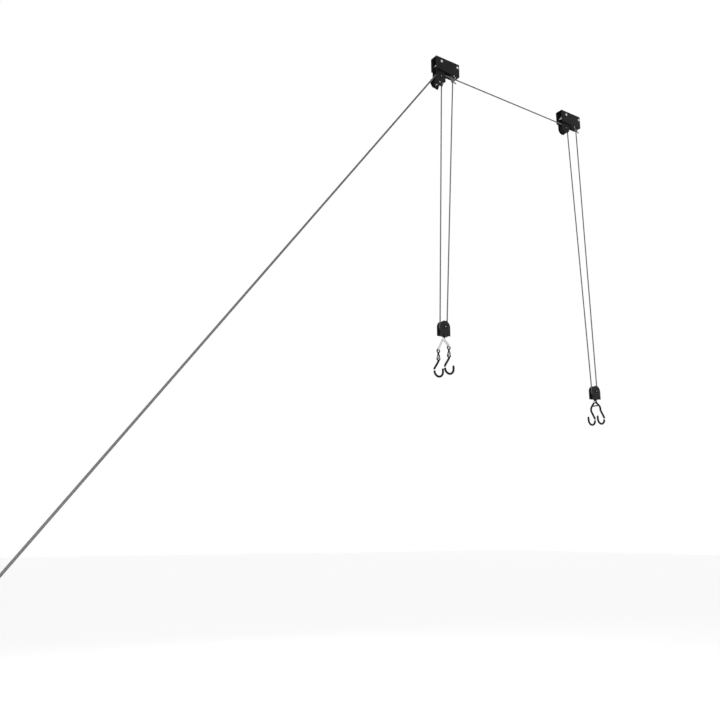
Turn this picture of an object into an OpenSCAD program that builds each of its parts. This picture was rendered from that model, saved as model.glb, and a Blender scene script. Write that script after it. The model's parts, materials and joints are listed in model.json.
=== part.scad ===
// Ceiling hoist for a bicycle: two ceiling brackets with rope sheaves and a rope lock,
// two moving pulley blocks on doubled rope falls, each carrying a pair of coated hooks,
// and a wall cleat that the pull rope is looped over.
// The origin is the centre of the front bracket's ceiling face. X runs from the front
// bracket to the rear one, Z is up, and all of the hoist hangs below Z = 0.

/* [Brackets] */
// Distance between the centres of the two brackets
bracket_span = 720; // [500:5:1200]
// Length of a bracket along the hoist
bracket_l = 117; // [105:1:150]
// Width of a bracket over its flanges
bracket_w = 36; // [35:1:50]
// Height of a bracket's flanges
bracket_h = 58; // [54:1:60]
// Thickness of the folded steel
bracket_t = 2.5; // [1.5:0.1:3]
// Outer radius of the folded edges
fold_r = 3; // [2.5:0.1:5]
// Length of the lip that the fixed rope end is tied to
lip_l = 20; // [18:1:26]
// Distance of the first ceiling screw hole behind the middle of the bracket
screw_x = -8; // [-10:1:0]
// Distance between the two ceiling screw holes
screw_pitch = 40; // [36:1:42]
// Diameter of a ceiling screw hole
screw_hole_d = 6.5; // [5:0.1:7.5]

/* [Sheaves and axles] */
// Outer diameter of a sheave
sheave_d = 42; // [40:0.5:44]
// Width of a sheave
sheave_w = 10; // [9:0.5:11]
// Radius at which the rope runs round a sheave
pitch_r = 16.5; // [16:0.1:17]
// Side play beside each sheave
side_play = 0.4; // [0.2:0.05:0.6]
// Diameter of the sheave axles
axle_d = 8; // [6:0.5:9]
// Diameter of an axle's head
axle_head_d = 12; // [11:0.5:14]
// Thickness of an axle's head
axle_head_t = 2; // [1:0.1:3]
// Distance of the bracket axle from the bracket's front end
axle_setback = 25.2; // [25:0.1:27]
// Distance of the bracket axle below the ceiling
axle_drop = 81.9; // [81:0.1:84]

/* [Sheave cheeks] */
// Thickness of a cheek plate
cheek_t = 2; // [1.5:0.1:2.2]
// Width of the front bracket's cheeks
front_cheek_w = 46; // [44:1:50]
// Distance of the front cheeks' lower edge below the axle
front_cheek_below = 22; // [22:0.5:26]
// Corner radius of the front cheeks
front_cheek_r = 6; // [3:0.5:10]
// Width of the rear bracket's round cheeks
rear_cheek_w = 44; // [43:1:48]
// Gap between the cheeks' upper edge and the ceiling
cheek_top_drop = 9; // [5:0.5:10]

/* [Cross bolts and guide pins] */
// Diameter of the cross bolts and guide pins
bolt_d = 6; // [5:0.5:7]
// Width across flats of the bolt heads and nuts
bolt_af = 10; // [9:0.5:12]
// Thickness of a bolt head
bolt_head_t = 4; // [3:0.5:5]
// Thickness of a nut
nut_t = 5; // [4:0.5:6]
// Length of thread that stands out of a nut
thread_out = 2; // [1:0.5:4]
// Distance of the front cross bolt from the bracket's front end
front_bolt_setback = 23.5; // [20:0.5:28]
// Distance of the rear cross bolt from the bracket's rear end
rear_bolt_setback = 11.5; // [9:0.5:14]
// Distance of the cross bolts below the ceiling
bolt_drop = 20; // [17:0.5:24]
// Distance of the guide pin from the bracket's front end
guide_setback = 11.5; // [9:0.5:14]
// Distance of the guide pin below the ceiling
guide_drop = 34; // [32:0.5:38]
// Wall of the spacer tubes on the cross bolts
spacer_wall = 1.5; // [1:0.1:2]

/* [Rope lock] */
// Thickness of the lock housing's side plates
lock_t = 2; // [1.5:0.1:2.5]
// Distance of the cam pin in front of the bracket axle
cam_pin_ahead = 8.5; // [7:0.5:10]
// Distance of the cam pin below the bracket axle
cam_pin_below = 29.5; // [29:0.5:32]
// Distance of the stop pin behind the cam pin
stop_pin_back = 12; // [11:0.5:14]
// Distance of the stop pin below the cam pin
stop_pin_below = 3; // [2:0.5:4]
// Diameter of the cam pin
cam_pin_d = 5; // [4:0.5:6]
// Diameter of the stop pin
stop_pin_d = 4; // [3:0.5:5]
// Radius of the serrated lobe of the cam
cam_lobe_r = 6.5; // [6:0.1:7]
// Height of a cam tooth
cam_tooth_h = 0.8; // [0.5:0.1:1]
// Number of teeth on the cam
cam_teeth = 9; // [5:1:11]
// Gap between the cam and the anvil wall that nips the rope
nip_gap = 4.2; // [3.6:0.1:5]
// Diameter of a lock rivet
lock_rivet_d = 4; // [3:0.5:4.5]
// Head height of a lock rivet
lock_rivet_head_t = 1.2; // [0.8:0.1:2]

/* [Rope] */
// Diameter of the rope
rope_d = 5; // [4.6:0.1:5.2]
// Diameter of the knot at a rope end
knot_d = 11; // [10:0.5:11.5]
// Length of the tail that stands out of a knot
knot_tail_l = 14; // [8:1:20]
// Distance from the ceiling to the front block's axle
front_block_drop = 1113; // [700:1:1600]
// Distance of the front block's axle in front of the front bracket's centre
front_block_ahead = 37.5; // [20:0.5:60]
// Distance from the ceiling to the rear block's axle
rear_block_drop = 1273; // [700:1:1600]
// Distance of the rear block's axle behind the rear bracket's centre
rear_block_behind = 46.5; // [20:0.5:60]

/* [Pulley blocks] */
// Width of a block cheek
block_w = 47; // [44:1:54]
// Distance from a block's axle to its flat lower edge
block_below = 33.5; // [33:0.5:38]
// Thickness of a block cheek
block_cheek_t = 3; // [2:0.1:4]
// Thickness of the washers beside a block's sheave
block_washer_t = 2.2; // [1:0.1:3]
// Diameter of those washers
block_washer_d = 14; // [12:0.5:18]
// Height of the hanger bar between the cheeks
hanger_h = 8; // [7:0.5:8.5]
// Length of the hanger bar
hanger_l = 34; // [32:1:40]
// Diameter of a hanger rivet
hanger_rivet_d = 5; // [4:0.5:6]
// Distance between the two hanger rivets
hanger_rivet_pitch = 23; // [21:1:26]
// Head height of the rivets on the blocks and hooks
rivet_head_t = 1.6; // [1:0.1:2.5]

/* [Swivels] */
// Diameter of a swivel's shank
swivel_d = 7; // [6:0.5:8]
// Diameter of a swivel's head
swivel_head_d = 12; // [10:0.5:13]
// Thickness of a swivel's head
swivel_head_t = 3; // [2:0.1:3.4]
// Diameter of the collar under the block
collar_d = 11; // [10:0.5:14]
// Height of that collar
collar_h = 2; // [1:0.5:3]
// Width of the tab that the hooks hang on
tab_w = 11; // [10:0.5:13]
// Thickness of that tab
tab_t = 3; // [2.5:0.1:4]
// Distance of the tab's rivet below the block's lower edge
tab_rivet_drop = 10; // [9.5:0.5:14]
// Diameter of the tab's rivet
tab_rivet_d = 5; // [4:0.5:6]

/* [Front hooks] */
// Half the spread between the tips of the V-shaped spreader
spread_half = 30; // [26:1:45]
// Drop from the spreader's rivet to its tips
spread_drop = 34; // [28:1:45]
// Width of a spreader arm
arm_w = 10; // [9:0.5:12]
// Thickness of the spreader plate
arm_t = 2.5; // [2:0.1:3]
// Radius of a spreader tip
tip_r = 6; // [5.8:0.1:6.5]
// Diameter of the coated wire of a link
link_wire_d = 4.5; // [4:0.1:4.8]
// Radius of the wire's centre line in an eye
eye_r = 6.2; // [6:0.1:7]
// Length of the shank between a link's two eyes
link_shank_l = 10; // [8:0.5:20]
// Diameter of the thicker middle of a link
link_sleeve_d = 7.5; // [6:0.1:9]

/* [Hooks] */
// Diameter of a hook's bare rod
hook_rod_d = 5.5; // [5:0.1:5.8]
// Diameter of a hook over its coating
hook_coat_d = 8; // [7:0.1:9]
// Radius of a hook's bowl at the rod's centre line
bowl_r = 20; // [18:0.5:26]
// Lean of the shank that sets the bowl back from the eye
shank_lean = 35; // [30:1:40]
// Radius of the bends in a shank
shank_bend_r = 12; // [10:0.5:15]
// Length of bare rod between the two coated stretches
band_l = 5; // [3:0.5:8]
// Straight length at a hook's tip
tip_l = 8; // [4:0.5:14]
// Angle by which the tip flares out
tip_flare = 25; // [15:1:35]

/* [Rear hooks] */
// Angle of each rear leg from the vertical
leg_lean = 42; // [35:1:48]
// Length of a rear leg's slanted part
leg_l = 32; // [28:1:40]
// Straight length below the leg's bend
leg_straight_l = 10; // [6:1:20]
// Diameter of the flat eye at the top of a rear leg
leg_eye_d = 13; // [12:0.5:16]
// Thickness of that flat eye
leg_eye_t = 3; // [2.5:0.1:4]
// Distance along a leg at which the cross bar joins it
cross_bar_at = 24; // [18:1:28]
// Diameter of the cross bar
cross_bar_d = 5; // [4:0.5:6]

/* [Wall cleat] */
// Length of the cleat over its two horns
cleat_l = 90; // [80:1:120]
// Width of the horns
horn_w = 12; // [8:0.5:13]
// Thickness of the horns
horn_t = 9; // [6:0.5:11]
// Diameter of the post that the rope loops round
post_d = 15; // [12:0.5:15]
// Length of the post between its plate and the horns
post_l = 22; // [20:1:26]
// Length of the cleat's wall plate
plate_l = 66; // [60:1:80]
// Width of the cleat's wall plate
plate_w = 22; // [18:1:30]
// Thickness of the cleat's wall plate
plate_t = 4; // [3:0.5:6]
// Distance between the cleat's two screw holes
cleat_screw_pitch = 48; // [40:1:52]
// Diameter of a cleat screw hole
cleat_hole_d = 5.2; // [4:0.1:6]

/* [Hidden] */
$fn = 48;

// Radial clearance of a shaft in its hole, and of a part that turns on it
fit_gap = 0.05;
// Gap left between pieces that only rest on each other
seat_gap = 0.2;
// Length by which a cutting body passes the face that it cuts
overrun = 1;

rope_r = rope_d / 2;
axle_r = axle_d / 2;
bolt_r = bolt_d / 2;
axle_x = axle_setback - bracket_l / 2;
lane = (sheave_w + side_play) / 2;
cheek_in = sheave_w + 1.5 * side_play;
cheek_out = cheek_in + cheek_t;
flange_in = bracket_w / 2 - bracket_t;
front_bolt_x = front_bolt_setback - bracket_l / 2;
rear_bolt_x = bracket_l / 2 - rear_bolt_setback;
guide_x = guide_setback - bracket_l / 2;
lip_x = bracket_l / 2 - lip_l;

// The rope's loop round the lip, and the lip hole that it passes
lip_ligament = 5;
lip_hole_share = 1.36;
lip_hole_r = rope_r * lip_hole_share;
loop_r = (lip_ligament + lip_hole_r + rope_r) / 2 + 2 * seat_gap;
loop_x = lip_x + loop_r - rope_r - 2 * seat_gap;
loop_z = bracket_t / 2 - bracket_h;

// The knot hangs into the loop, and its neck runs down into the dead fall
knot_sink_share = 0.4;
neck_share = 0.7;
tail_lean = 112;
knot_z = loop_z - loop_r - knot_d * knot_sink_share;
neck_l = knot_d * neck_share;
fall_top_z = knot_z - neck_l;

// The pull rope leaves the sheaves along a slope of three across to four down
pull_angle = 90 + atan(4 / 3);

// The route of the pull rope: down one strand to the cleat, round its post and back up.
// The far strand repeats the near one on the other side.
pull_strand = [
    [-46.5, -5.2, -72], [-196.5, -5.7, -272], [-346.5, -6.3, -472], [-496.5, -6.8, -672],
    [-646.5, -7.3, -872], [-796.5, -7.9, -1072], [-946.5, -8.4, -1272], [-1096.5, -8.9, -1472],
    [-1246.5, -9.4, -1672], [-1396.5, -10, -1872], [-1546.5, -10.5, -2072]];
pull_bight = [
    [-1549.7, -9.1, -2076.2], [-1552, -5.3, -2079.3], [-1552.8, 0, -2080.4],
    [-1552, 5.3, -2079.3], [-1549.7, 9.1, -2076.2]];
// Height of the cleat's middle, and the face of the wall
cleat_z = -2070;
wall_x = -1564;

block_half = sheave_w / 2 + block_washer_t + side_play / 2 + fit_gap;
block_out = block_half + block_cheek_t;
front_block = [-front_block_ahead, lane, -front_block_drop];
rear_block = [bracket_span + rear_block_behind, -lane, -rear_block_drop];
tab_rivet_z = -block_below - tab_rivet_drop;
tab_rivet_r = tab_rivet_d / 2;

arm_x = -(tab_t + arm_t) / 2 - fit_gap;
tip_z = tab_rivet_z - spread_drop;
link_wire_r = link_wire_d / 2;
hook_rod_r = hook_rod_d / 2;
link_low_z = tip_z - 4 * eye_r - link_shank_l;
hook_eye_top_z = link_low_z + link_wire_r + hook_rod_r + seat_gap;
shank_shift = bowl_r - 2 * shank_bend_r * (1 - cos(shank_lean));
shank_l = shank_shift / sin(shank_lean);
leg_eye_x = (tab_t + leg_eye_t) / 2 + fit_gap;
// Size of the round elbow in a rear leg, as a share of the leg's own
elbow_share = 1.02;
// Radius of a rivet's head as a share of its diameter, and of the spreader's apex of an arm's width
rivet_head_share = 0.85;
apex_share = 0.6;
// Sides of the pull rope, and facets of a horn's round end
pull_rope_sides = 10;
horn_facets = 24;

steel_black = [0.06, 0.06, 0.065];
zinc = [0.78, 0.79, 0.8];
nylon_black = [0.1, 0.1, 0.105];
rubber_black = [0.035, 0.035, 0.035];
rope_grey = [0.5, 0.5, 0.49];

// A plate of thickness t that stands across Y, from y towards the far side
module plate_y(y, t) {
    translate([0, y + t, 0]) rotate([90, 0, 0]) linear_extrude(t) children();
}

// A plate of thickness t that stands across X, from x rearwards
module plate_x(x, t) {
    translate([x, 0, 0]) rotate([90, 0, 90]) linear_extrude(t) children();
}

// A round bar along Y through x and z, from y0 to y1
module bar_y(x, z, y0, y1, r) {
    translate([x, y1, z]) rotate([90, 0, 0]) cylinder(h = y1 - y0, r = r);
}

// A round bar along X through y and z, from x0 to x1
module bar_x(y, z, x0, x1, r) {
    translate([x0, y, z]) rotate([0, 90, 0]) cylinder(h = x1 - x0, r = r);
}

// A rod bent move by move: [length, 0, 0, radius] runs straight, and
// [bend radius, angle, direction, radius] bends towards that direction
module bent_rod(moves, i = 0) {
    if (i < len(moves)) {
        m = moves[i];
        if (m[1] == 0) {
            cylinder(h = m[0], r = m[3]);
            translate([0, 0, m[0]]) bent_rod(moves, i + 1);
        } else {
            rotate([0, 0, m[2]]) {
                translate([m[0], 0, 0]) rotate([90, 0, 180])
                    rotate_extrude(angle = m[1]) translate([m[0], 0]) circle(m[3]);
                translate([m[0], 0, 0]) rotate([0, m[1], 0]) translate([-m[0], 0, 0])
                    rotate([0, 0, -m[2]]) bent_rod(moves, i + 1);
            }
        }
    }
}

// An arc of rope round a sheave's centre, from one angle to another
module rope_turn(from, to) {
    rotate([90, 0, 0]) rotate([0, 0, from])
        rotate_extrude(angle = to - from) translate([pitch_r, 0]) circle(rope_r);
}

// A straight strand of rope from p to q, drawn back by the seat gap at both ends
module strand(p, q) {
    d = q - p;
    l = norm(d);
    translate(p) rotate([0, acos(d[2] / l), atan2(d[1], d[0])])
        translate([0, 0, seat_gap]) cylinder(h = l - 2 * seat_gap, r = rope_r);
}

// A tube of the rope's radius swept along a list of points
function unit(v) = v / norm(v);
function heading(p, i) = unit(p[min(i + 1, len(p) - 1)] - p[max(i - 1, 0)]);
function side(t) = unit(cross(t, [1, 0, -1]));
module swept_rope(points, sides) {
    rings = [for (i = [0 : len(points) - 1])
        let (t = heading(points, i), u = side(t), v = cross(t, u))
            [for (k = [0 : sides - 1])
                points[i] + rope_r * (cos(360 * k / sides) * u + sin(360 * k / sides) * v)]];
    n = len(points);
    walls = [for (i = [0 : n - 2], k = [0 : sides - 1])
        let (a = i * sides + k, b = i * sides + (k + 1) % sides)
            each [[a, a + sides, b], [b, a + sides, b + sides]]];
    ends = [[for (k = [0 : sides - 1]) k], [for (k = [sides - 1 : -1 : 0]) (n - 1) * sides + k]];
    polyhedron([for (ring = rings) each ring], concat(walls, ends));
}

// A folded channel, open below and at its front, with a lip at its rear for the rope end
module bracket() {
    color(steel_black) difference() {
        union() {
            plate_x(-bracket_l / 2, bracket_l) difference() {
                union() {
                    translate([-bracket_w / 2, -bracket_h]) square([bracket_w, bracket_h - fold_r]);
                    translate([fold_r - bracket_w / 2, -bracket_h])
                        square([bracket_w - 2 * fold_r, bracket_h]);
                    for (s = [-1, 1]) translate([s * (bracket_w / 2 - fold_r), -fold_r])
                        circle(fold_r);
                }
                translate([-flange_in, -bracket_h - overrun])
                    square([2 * flange_in, bracket_h - bracket_t + overrun]);
            }
            translate([lip_x, -flange_in - overrun / 2, -bracket_h])
                cube([lip_l, 2 * flange_in + overrun, bracket_t]);
        }
        for (x = [front_bolt_x, rear_bolt_x])
            bar_y(x, -bolt_drop, -bracket_w, bracket_w, bolt_r + fit_gap);
        bar_y(guide_x, -guide_drop, -bracket_w, bracket_w, bolt_r + fit_gap);
        for (x = [screw_x, screw_x + screw_pitch])
            translate([x, 0, -bracket_t - overrun])
                cylinder(h = bracket_t + 2 * overrun, d = screw_hole_d);
        for (y = [-lane, lane])
            translate([loop_x + loop_r, y, -bracket_h - overrun])
                cylinder(h = bracket_t + 2 * overrun, r = lip_hole_r);
    }
}

module cross_bolts() {
    color(zinc) for (x = [front_bolt_x, rear_bolt_x]) {
        bar_y(x, -bolt_drop, -bracket_w / 2, bracket_w / 2 + nut_t + thread_out, bolt_r);
        translate([x, -bracket_w / 2, -bolt_drop]) rotate([90, 0, 0])
            cylinder(h = bolt_head_t, r = bolt_af / 2 / cos(30), $fn = 6);
    }
}

module cross_nuts() {
    color(zinc) for (x = [front_bolt_x, rear_bolt_x]) difference() {
        translate([x, bracket_w / 2 + nut_t, -bolt_drop]) rotate([90, 0, 0])
            cylinder(h = nut_t, r = bolt_af / 2 / cos(30), $fn = 6);
        bar_y(x, -bolt_drop, 0, bracket_w, bolt_r + fit_gap);
    }
}

// Tubes that keep the cheeks apart and off the flanges, and stiffen the bracket's rear
module bracket_spacers() {
    color(zinc) for (part = [
        [front_bolt_x, -bolt_drop, -flange_in, -cheek_out],
        [front_bolt_x, -bolt_drop, -cheek_in, cheek_in],
        [front_bolt_x, -bolt_drop, cheek_out, flange_in],
        [guide_x, -guide_drop, -flange_in, -cheek_out],
        [guide_x, -guide_drop, cheek_out, flange_in],
        [rear_bolt_x, -bolt_drop, -flange_in, flange_in]])
        difference() {
            bar_y(part[0], part[1], part[2], part[3], bolt_r + fit_gap + spacer_wall);
            bar_y(part[0], part[1], part[2] - overrun, part[3] + overrun, bolt_r + fit_gap);
        }
}

module guide_pin() {
    color(zinc) bar_y(guide_x, -guide_drop, -bracket_w / 2, bracket_w / 2, bolt_r);
}

module cheek_holes() {
    for (hole = [[front_bolt_x, -bolt_drop, bolt_r], [guide_x, -guide_drop, bolt_r],
        [axle_x, -axle_drop, axle_r]])
        translate([hole[0], hole[1]]) circle(hole[2] + fit_gap);
}

module front_cheek(y) {
    low = -axle_drop - front_cheek_below;
    half = front_cheek_w / 2;
    color(steel_black) plate_y(y, cheek_t) difference() {
        union() {
            translate([axle_x - half, low + front_cheek_r])
                square([front_cheek_w, -cheek_top_drop - low - front_cheek_r]);
            translate([axle_x - half + front_cheek_r, low])
                square([front_cheek_w - 2 * front_cheek_r, front_cheek_r + overrun]);
            for (s = [-1, 1])
                translate([axle_x + s * (half - front_cheek_r), low + front_cheek_r])
                    circle(front_cheek_r);
        }
        cheek_holes();
        for (x = lock_rivet_xs) translate([x, lock_rivet_z]) circle(lock_rivet_r + fit_gap);
    }
}

module rear_cheek(y) {
    half = rear_cheek_w / 2;
    color(steel_black) plate_y(y, cheek_t) difference() {
        union() {
            translate([axle_x - half, -axle_drop])
                square([rear_cheek_w, axle_drop - cheek_top_drop]);
            translate([axle_x, -axle_drop]) circle(half);
        }
        cheek_holes();
    }
}

// An axle along Y with a head at each end, its middle at the origin
module headed_axle(half) {
    color(zinc) {
        bar_y(0, 0, -half, half, axle_r);
        for (s = [-1, 1]) bar_y(0, 0, min(s * half, s * (half + axle_head_t)),
            max(s * half, s * (half + axle_head_t)), axle_head_d / 2);
    }
}

// A grooved wheel about the Y axis, its middle at the origin
module sheave() {
    groove_r = rope_r + seat_gap;
    color(nylon_black) rotate([90, 0, 0]) rotate_extrude() difference() {
        translate([axle_r + fit_gap, -sheave_w / 2])
            square([sheave_d / 2 - axle_r - fit_gap, sheave_w]);
        translate([pitch_r, 0]) circle(groove_r);
        polygon([[pitch_r, -groove_r], [sheave_d / 2 + overrun, -groove_r - rim_flare],
            [sheave_d / 2 + overrun, groove_r + rim_flare], [pitch_r, groove_r]]);
        for (s = [-1, 1]) translate([axle_r + hub_wall, s * sheave_w / 2 - web_recess])
            square([web_w, 2 * web_recess]);
    }
}
rim_flare = 1;
hub_wall = 3;
web_w = 4;
web_recess = 1.2;

// Tube on the rear axle that fills the lane with no sheave
module axle_spacer() {
    color(zinc) translate([axle_x, 0, -axle_drop]) difference() {
        bar_y(0, 0, side_play / 2, cheek_in - seat_gap, axle_r + fit_gap + spacer_wall);
        bar_y(0, 0, -overrun, cheek_in + overrun, axle_r + fit_gap);
    }
}

// The rope lock under the front sheaves
lock_in = cheek_out + fit_gap;
lock_out = lock_in + lock_t;
cam_pin = [axle_x - cam_pin_ahead, -axle_drop - cam_pin_below];
stop_pin = [cam_pin[0] + stop_pin_back, cam_pin[1] - stop_pin_below];
cam_pin_r = cam_pin_d / 2;
stop_pin_r = stop_pin_d / 2;
lock_rivet_r = lock_rivet_d / 2;
lock_rivet_edge_share = 1.25;
lock_rivet_side_share = 1 / 6;
lock_rivet_head_share = 0.9;
lock_rivet_z = -axle_drop - front_cheek_below + lock_rivet_edge_share * lock_rivet_d;
lock_rivet_xs = [for (s = [-1, 1]) axle_x + s * lock_rivet_side_share * front_cheek_w];
lobe_offset = [-1.5, 1.5];
anvil_x = cam_pin[0] + lobe_offset[0] - cam_lobe_r - cam_tooth_h - nip_gap;
anvil_t = lock_t;
anvil_h = 16;
lock_front = 33;
lock_rear = 13;
lock_foot = 3;
lock_top = 12;
lock_low = 47;
lock_chamfer = 8;
cam_play = 0.5;
cam_tail_t = 3;
cam_tooth_step = 14;
spring_wire_d = 1;

module lock_side() {
    z = -axle_drop;
    difference() {
        polygon([[axle_x - lock_front, z - lock_top],
            [axle_x - lock_front, z - lock_low + 2 * lock_chamfer],
            [axle_x - lock_front + lock_chamfer, z - lock_low + lock_chamfer / 2],
            [axle_x + lock_foot, z - lock_low],
            [axle_x + lock_rear, z - lock_low + 3 * lock_chamfer], [axle_x + lock_rear, z - lock_top]]);
        for (x = lock_rivet_xs) translate([x, lock_rivet_z]) circle(lock_rivet_r + fit_gap);
        translate(cam_pin) circle(cam_pin_r + fit_gap);
        translate(stop_pin) circle(stop_pin_r + fit_gap);
    }
}

module lock_housing() {
    color(steel_black) {
        plate_y(-lock_out, lock_t) lock_side();
        plate_y(lock_in, lock_t) lock_side();
        translate([anvil_x - anvil_t, -lock_in, cam_pin[1] - anvil_h / 2])
            cube([anvil_t, 2 * lock_in, anvil_h]);
    }
}

// Four short rivets that hold the lock housing to the cheeks
module lock_rivets() {
    color(zinc) for (x = lock_rivet_xs, s = [-1, 1]) {
        bar_y(x, lock_rivet_z, min(s * cheek_in, s * lock_out), max(s * cheek_in, s * lock_out),
            lock_rivet_r);
        bar_y(x, lock_rivet_z, min(s * lock_out, s * (lock_out + lock_rivet_head_t)),
            max(s * lock_out, s * (lock_out + lock_rivet_head_t)),
            lock_rivet_d * lock_rivet_head_share);
    }
}

module lock_cam_pin() {
    color(zinc) bar_y(cam_pin[0], cam_pin[1], -lock_out - lock_rivet_head_t,
        lock_out + lock_rivet_head_t, cam_pin_r);
}

module lock_stop_pin() {
    color(zinc) bar_y(stop_pin[0], stop_pin[1], -lock_out - lock_rivet_head_t,
        lock_out + lock_rivet_head_t, stop_pin_r);
}

// The cam's serrated lobe faces the anvil, and its tail rests on the stop pin
module lock_cam() {
    tail_z = stop_pin[1] - cam_pin[1] + stop_pin_r + seat_gap;
    half = cheek_in - cam_play - 2 * spring_wire_d;
    color(zinc) translate([cam_pin[0], 0, cam_pin[1]]) plate_y(-half, 2 * half) difference() {
        union() {
            translate(lobe_offset) circle(cam_lobe_r);
            for (k = [0 : cam_teeth - 1]) translate(lobe_offset)
                rotate(180 + (k - (cam_teeth - 1) / 2) * cam_tooth_step) translate([cam_lobe_r, 0])
                    polygon([[-cam_tooth_h, -cam_tooth_h], [cam_tooth_h, 0],
                        [-cam_tooth_h, cam_tooth_h]]);
            translate([0, tail_z]) square([stop_pin_back + stop_pin_r, cam_tail_t]);
        }
        circle(cam_pin_r + fit_gap);
    }
}

// Torsion spring on the cam pin, between the cam and the far side plate
module lock_spring() {
    half = cheek_in - cam_play - 2 * spring_wire_d;
    r_in = cam_pin_r + seat_gap;
    color(zinc) translate([cam_pin[0], 0, cam_pin[1]]) difference() {
        bar_y(0, 0, half + seat_gap, lock_in - seat_gap, r_in + spring_wire_d);
        bar_y(0, 0, half, lock_in, r_in);
    }
}

// The rope's end: a loop round the lip, a knot under it and a short tail
module knot(y) {
    color(rope_grey) {
        translate([loop_x, y, loop_z]) rotate([90, 0, 0])
            rotate_extrude() translate([loop_r, 0]) circle(rope_r);
        translate([loop_x, y, knot_z]) {
            sphere(d = knot_d);
            translate([0, 0, -neck_l]) cylinder(h = neck_l, r = rope_r);
            rotate([0, tail_lean, 0]) cylinder(h = knot_d / 2 + knot_tail_l, r = rope_r);
        }
    }
}

// The rope's turn over the front block's sheave in the far lane
module front_rope_turn() {
    color(rope_grey) translate([axle_x, lane, -axle_drop]) rope_turn(0, pull_angle);
}

// The rope over the near front sheave, across to the rear sheave and over it
module cross_rope() {
    color(rope_grey) translate([axle_x, -lane, -axle_drop]) {
        rope_turn(90, pull_angle);
        bar_x(0, pitch_r, 0, bracket_span, rope_r);
        translate([bracket_span, 0, 0]) rope_turn(0, 90);
    }
}

module pull_rope() {
    back = [for (i = [len(pull_strand) - 1 : -1 : 0])
        [pull_strand[i][0], -pull_strand[i][1], pull_strand[i][2]]];
    color(rope_grey) swept_rope(concat(pull_strand, pull_bight, back), pull_rope_sides);
}

// The two falls between a bracket and its block: the live one from the bracket's sheave,
// the dead one from the knot at the lip
module falls(bracket_x, block) {
    color(rope_grey) {
        strand([bracket_x + axle_x + pitch_r, block[1], -axle_drop], block - [pitch_r, 0, 0]);
        strand([bracket_x + loop_x, block[1], fall_top_z], block + [pitch_r, 0, 0]);
    }
}

// A pulley block, drawn about its axle
module block_cheeks() {
    color(nylon_black) for (y = [-block_out, block_half]) plate_y(y, block_cheek_t)
        difference() {
            union() {
                circle(block_w / 2);
                translate([-block_w / 2, -block_below]) square([block_w, block_below]);
            }
            circle(axle_r + fit_gap);
            for (s = [-1, 1])
                translate([s * hanger_rivet_pitch / 2, hanger_h / 2 - block_below])
                    circle(hanger_rivet_d / 2 + fit_gap);
        }
}

module block_washers() {
    color(zinc) for (y = [-block_half, block_half - block_washer_t]) difference() {
        bar_y(0, 0, y, y + block_washer_t, block_washer_d / 2);
        bar_y(0, 0, y - overrun, y + block_washer_t + overrun, axle_r + fit_gap);
    }
}

module hanger() {
    color(steel_black) difference() {
        translate([-hanger_l / 2, -block_half, -block_below])
            cube([hanger_l, 2 * block_half, hanger_h]);
        translate([0, 0, -block_below - overrun])
            cylinder(h = hanger_h + 2 * overrun, r = swivel_d / 2 + fit_gap);
        for (s = [-1, 1]) bar_y(s * hanger_rivet_pitch / 2, hanger_h / 2 - block_below,
            -block_half - overrun, block_half + overrun, hanger_rivet_d / 2 + fit_gap);
    }
}

module hanger_rivets() {
    z = hanger_h / 2 - block_below;
    color(zinc) for (s = [-1, 1]) {
        bar_y(s * hanger_rivet_pitch / 2, z, -block_out, block_out, hanger_rivet_d / 2);
        for (y = [-block_out - rivet_head_t, block_out])
            bar_y(s * hanger_rivet_pitch / 2, z, y, y + rivet_head_t, hanger_rivet_d * rivet_head_share);
    }
}

// A shank that turns in the hanger, with the tab that the hooks hang on
module swivel() {
    color(steel_black) {
        translate([0, 0, hanger_h - block_below + fit_gap])
            cylinder(h = swivel_head_t, d = swivel_head_d);
        translate([0, 0, -block_below - fit_gap - collar_h])
            cylinder(h = collar_h + hanger_h + 3 * fit_gap, d = swivel_d);
        translate([0, 0, -block_below - fit_gap - collar_h])
            cylinder(h = collar_h, d = collar_d);
        plate_x(-tab_t / 2, tab_t) difference() {
            union() {
                translate([-tab_w / 2, tab_rivet_z])
                    square([tab_w, tab_rivet_drop - fit_gap - collar_h / 2]);
                translate([0, tab_rivet_z]) circle(tab_w / 2);
            }
            translate([0, tab_rivet_z]) circle(tab_rivet_r + fit_gap);
        }
    }
}

// A rivet along X through a swivel's tab, from x0 to x1
module tab_rivet(x0, x1) {
    color(zinc) {
        bar_x(0, tab_rivet_z, x0, x1, tab_rivet_r);
        for (x = [x0 - rivet_head_t, x1])
            bar_x(0, tab_rivet_z, x, x + rivet_head_t, tab_rivet_d * rivet_head_share);
    }
}

// The V-shaped plate that spreads the two front hooks
module front_spreader() {
    lean = atan(spread_half / spread_drop);
    color(zinc) plate_x(arm_x - arm_t / 2, arm_t) difference() {
        union() {
            translate([0, tab_rivet_z]) circle(arm_w * apex_share);
            for (s = [-1, 1]) translate([0, tab_rivet_z]) rotate(s * lean) {
                translate([-arm_w / 2, -norm([spread_half, spread_drop])])
                    square([arm_w, norm([spread_half, spread_drop])]);
                translate([0, -norm([spread_half, spread_drop])]) circle(tip_r);
            }
        }
        translate([0, tab_rivet_z]) circle(tab_rivet_r + fit_gap);
        for (s = [-1, 1]) translate([s * spread_half, tip_z])
            circle(link_wire_r + 2 * seat_gap);
    }
}

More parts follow.
